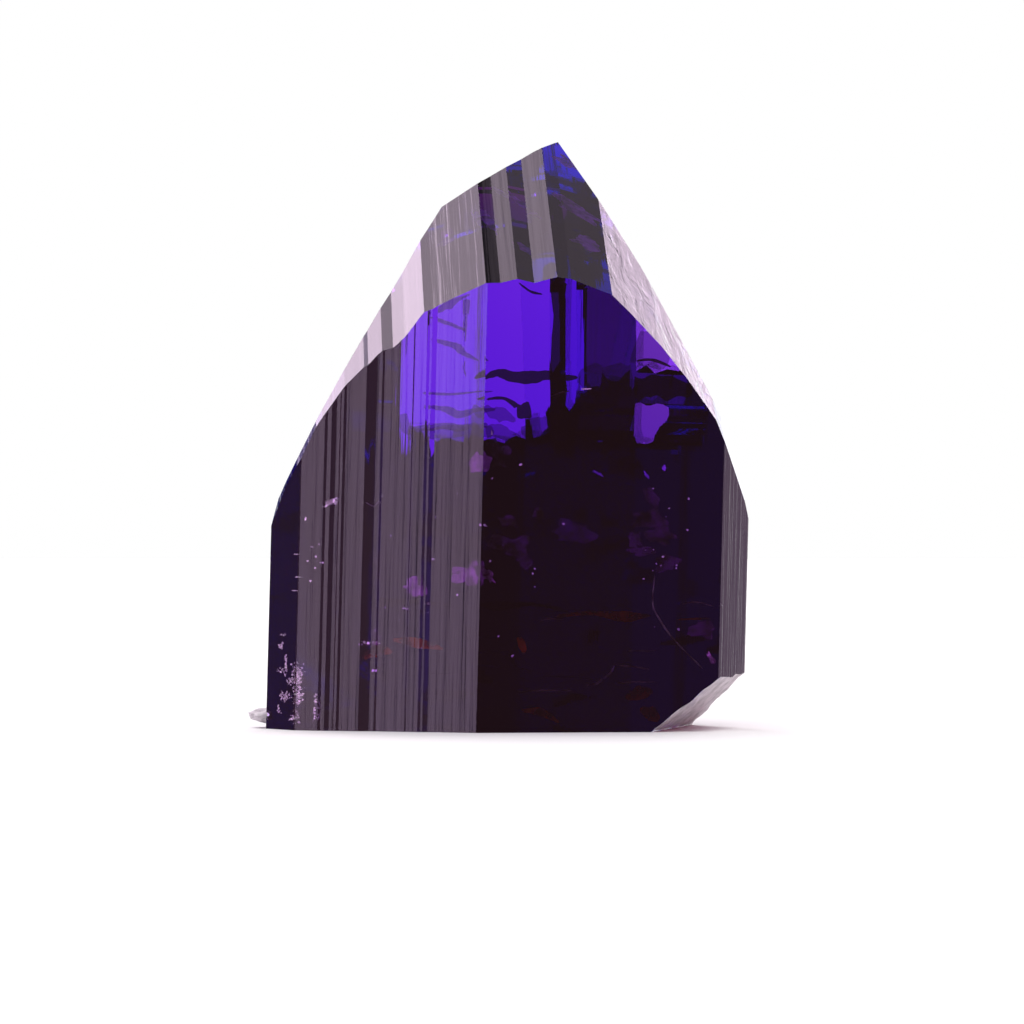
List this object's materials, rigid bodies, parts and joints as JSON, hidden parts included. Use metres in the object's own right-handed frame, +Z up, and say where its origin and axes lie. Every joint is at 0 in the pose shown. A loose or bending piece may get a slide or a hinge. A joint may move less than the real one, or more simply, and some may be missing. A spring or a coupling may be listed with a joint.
{
  "type": "rough tanzanite crystal",
  "caption": "Rough tanzanite: a single upright striated prism of clear violet-blue crystal under a slanting stepped roof, cut flat at its foot to stand",
  "frame": {"origin": "middle of the bounding box's foot, on the flat cut that the crystal stands on", "axes": "+Z up, close to the crystal's length; +X to the right of the broad front faces; +Y from the front faces to the back edge"},
  "size_m": [0.0246, 0.0168, 0.0297],
  "materials": {
    "tanzanite": "clear violet-blue crystal with polished natural faces, IOR 1.70"
  },
  "bodies": {
    "root": {"tanzanite_crystal": "tanzanite"}
  },
  "joints": []
}
